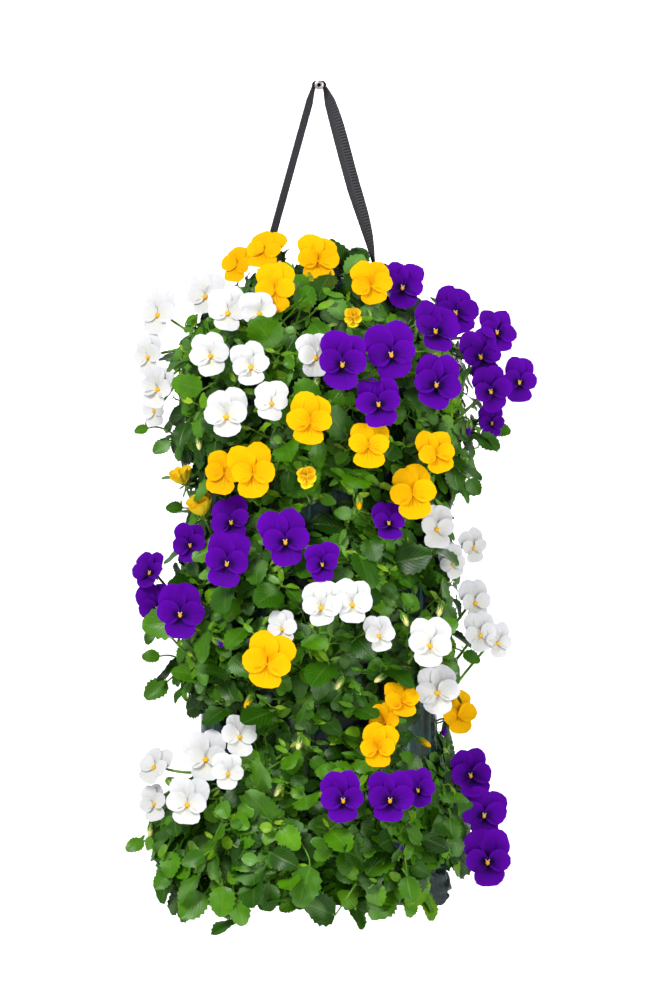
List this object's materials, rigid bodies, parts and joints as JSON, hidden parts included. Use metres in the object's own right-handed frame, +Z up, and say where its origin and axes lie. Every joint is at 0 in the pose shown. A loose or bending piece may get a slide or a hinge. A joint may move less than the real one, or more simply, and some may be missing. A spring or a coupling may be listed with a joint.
{
  "type": "hanging pansy pouch planter",
  "caption": "Film flower pouch full of soil, hung by a webbing strap over a screw and planted all round its front with yellow, white and purple violas.",
  "frame": {"origin": "axis of the hanging screw, under the middle of the strap's bend", "axes": "+Z up, -Y towards the front and away from the wall, +X to the right seen from the front"},
  "size_m": [0.4036, 0.2376, 0.854],
  "materials": {
    "film": "dark green polyethylene film, glossy and creased",
    "soil": "damp peat and bark potting soil",
    "webbing": "woven charcoal polypropylene webbing",
    "screw": "plain steel screw",
    "foliage": "living viola leaves and stems, satin green",
    "petals_yellow": "velvety yellow viola petals",
    "petals_white": "velvety white viola petals with a yellow eye",
    "petals_purple": "velvety deep purple viola petals with a yellow eye"
  },
  "bodies": {
    "root": {"blooms_purple_bottom": "petals_purple", "blooms_purple_centre": "petals_purple", "blooms_purple_far_left": "petals_purple", "blooms_purple_far_right": "petals_purple", "blooms_purple_left": "petals_purple", "blooms_purple_lower_right": "petals_purple", "blooms_purple_top": "petals_purple", "blooms_purple_upper_right": "petals_purple", "blooms_white_centre": "petals_white", "blooms_white_far_left": "petals_white", "blooms_white_far_lower_left": "petals_white", "blooms_white_far_right": "petals_white", "blooms_white_lower_left": "petals_white", "blooms_white_lower_right": "petals_white", "blooms_white_right": "petals_white", "blooms_white_shoulder": "petals_white", "blooms_white_upper_left": "petals_white", "blooms_yellow_centre": "petals_yellow", "blooms_yellow_left": "petals_yellow", "blooms_yellow_lower_left": "petals_yellow", "blooms_yellow_lower_right": "petals_yellow", "blooms_yellow_right": "petals_yellow", "blooms_yellow_top": "petals_yellow", "blooms_yellow_top_left": "petals_yellow", "film_pouch": "film", "hanging_screw": "screw", "leaves_01": "foliage", "leaves_02": "foliage", "leaves_03": "foliage", "leaves_04": "foliage", "leaves_05": "foliage", "leaves_06": "foliage", "leaves_07": "foliage", "leaves_08": "foliage", "leaves_09": "foliage", "leaves_10": "foliage", "leaves_11": "foliage", "leaves_12": "foliage", "leaves_13": "foliage", "leaves_14": "foliage", "leaves_15": "foliage", "leaves_16": "foliage", "leaves_17": "foliage", "leaves_18": "foliage", "leaves_19": "foliage", "leaves_20": "foliage", "potting_soil": "soil", "webbing_strap": "webbing"}
  },
  "joints": []
}
